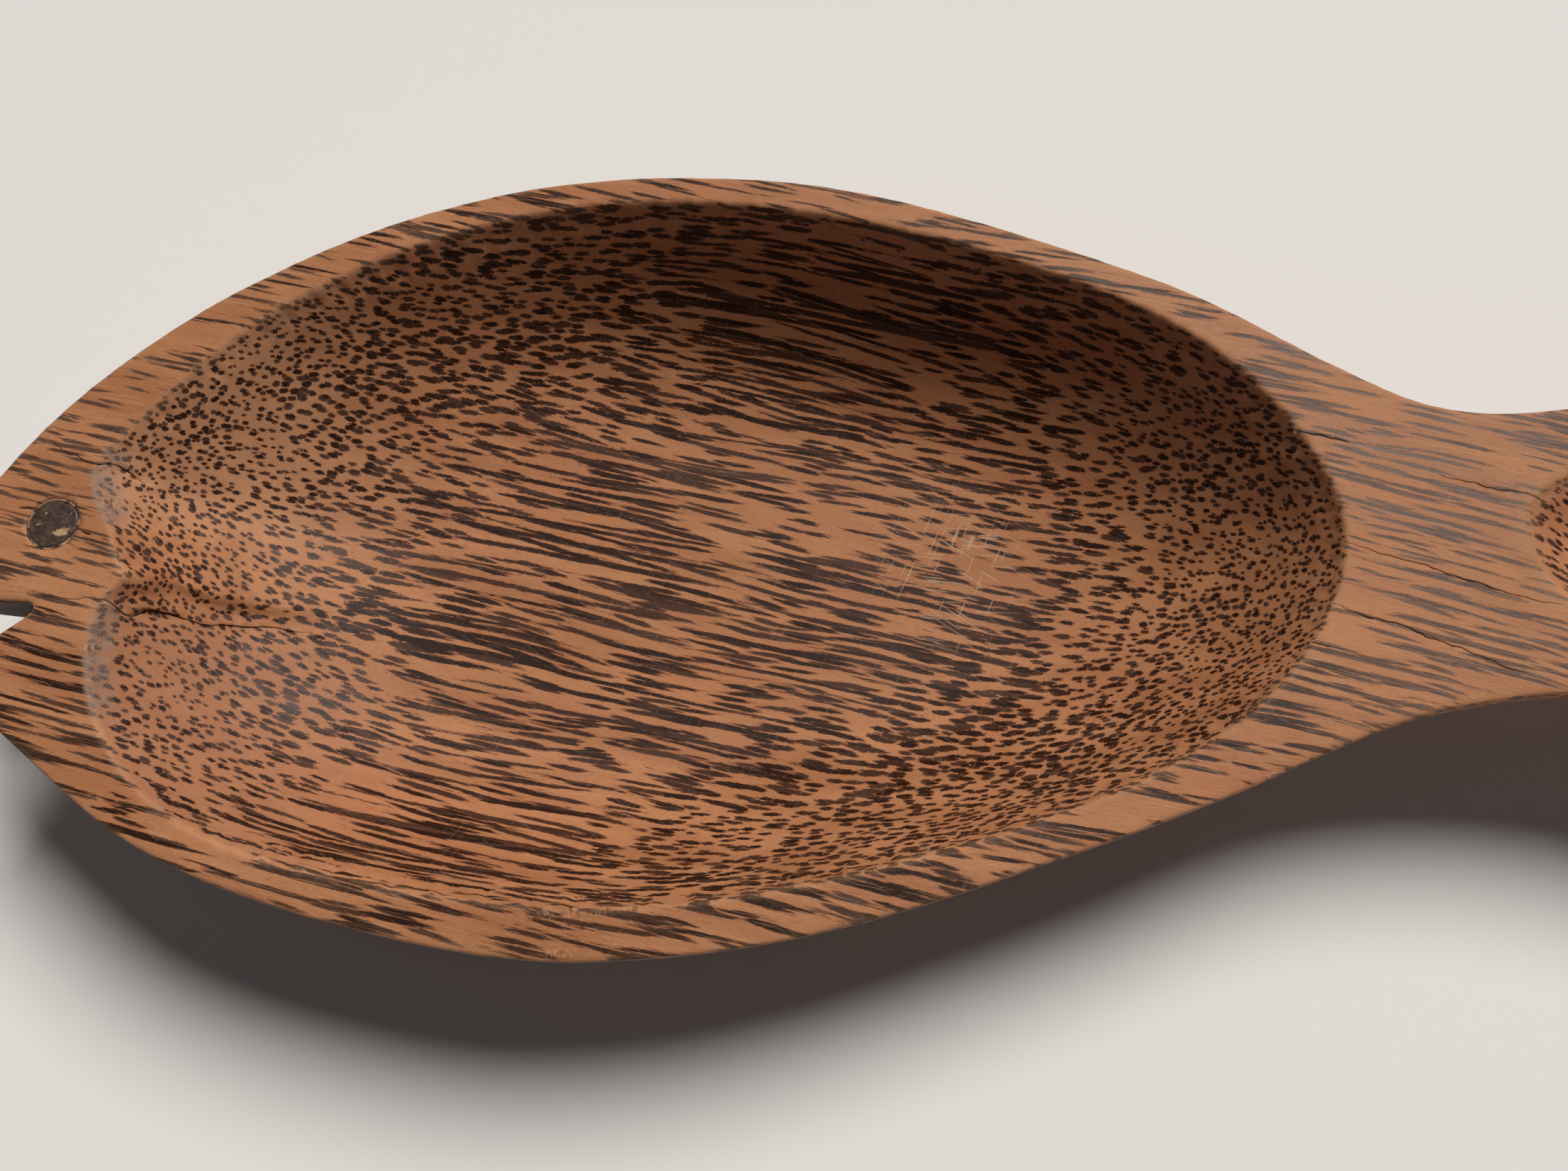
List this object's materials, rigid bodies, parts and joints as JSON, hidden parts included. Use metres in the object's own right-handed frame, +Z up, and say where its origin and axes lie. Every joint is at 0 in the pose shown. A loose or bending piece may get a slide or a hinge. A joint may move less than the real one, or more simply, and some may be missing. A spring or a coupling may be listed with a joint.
{
  "type": "fish-shaped wooden dish",
  "caption": "Fish-shaped serving dish carved from a board of palm wood, with a deep bowl in the body, a shallow hollow in the forked tail and an inlaid dark eye.",
  "frame": {"origin": "middle of the dish's bounding box, on the table that its base rests on", "axes": "+X from the snout to the tail, +Y towards the fish's back, +Z up out of the bowl"},
  "size_m": [0.318, 0.1226, 0.035],
  "materials": {
    "palm_wood": "open-grained palm wood, hand rubbed, dull satin and worn pale along the rim",
    "eye_wood": "dense dark wood, smooth satin with small scratches",
    "glue": "dried wood glue and filler, matte"
  },
  "bodies": {
    "root": {"dish_body": "palm_wood", "eye_plug": "eye_wood", "eye_glue_line": "glue"}
  },
  "joints": []
}
